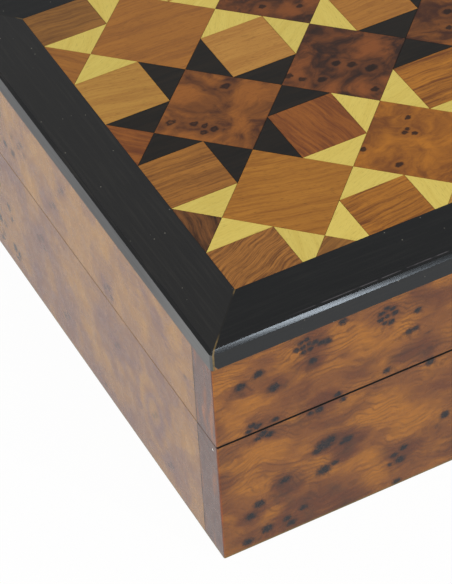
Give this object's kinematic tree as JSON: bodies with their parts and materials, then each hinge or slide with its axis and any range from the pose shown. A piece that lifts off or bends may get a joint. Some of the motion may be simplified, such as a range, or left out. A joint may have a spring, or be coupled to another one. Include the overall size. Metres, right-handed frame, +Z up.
{
  "type": "hinged wooden box",
  "caption": "Burl wood box for chessmen with a divided, felt lined base and a deep hinged lid, whose top is geometric marquetry framed in ebony.",
  "frame": {"origin": "centre of the underside of the base", "axes": "+X to the right along the front, +Y towards the hinged back, +Z up"},
  "size_m": [0.1728, 0.1664, 0.0793],
  "materials": {
    "burl_wood": "satin lacquer over thuya burl",
    "ebony": "satin, near black",
    "light_slip_wood": "satin",
    "lemonwood": "satin",
    "straight_grain_wood": "satin",
    "inner_wood": "oiled",
    "felt": "matt wool felt",
    "brass": "polished, slightly dulled"
  },
  "bodies": {
    "base": {"base_front_board": "burl_wood", "base_back_board": "burl_wood", "base_left_board": "burl_wood", "base_right_board": "burl_wood", "base_bottom_panel": "inner_wood", "base_divider": "inner_wood", "base_felt_linings": "felt", "hinge_left_base_leaf": "brass", "hinge_right_base_leaf": "brass", "hinge_left_pin": "brass", "hinge_right_pin": "brass", "hinge_base_screws": "brass"},
    "lid": {"lid_front_board": "burl_wood", "lid_back_board": "burl_wood", "lid_left_board": "burl_wood", "lid_right_board": "burl_wood", "lid_panel": "inner_wood", "ebony_lipping_front": "ebony", "ebony_lipping_back": "ebony", "ebony_lipping_left": "ebony", "ebony_lipping_right": "ebony", "mitre_fillers": "light_slip_wood", "marquetry_small_squares": "straight_grain_wood", "marquetry_lemonwood_triangles": "lemonwood", "marquetry_ebony_triangles": "ebony", "marquetry_burl_tiles": "burl_wood", "marquetry_plain_tiles": "straight_grain_wood", "marquetry_edge_tiles": "straight_grain_wood", "hinge_left_lid_leaf": "brass", "hinge_right_lid_leaf": "brass", "hinge_lid_screws": "brass"}
  },
  "joints": [
    {"name": "lid_hinge", "type": "hinge", "parent": "base", "child": "lid", "pos_m": [0, 0.08135, 0.0444], "axis": [-1, 0, 0], "range_deg": [0, 100]}
  ]
}
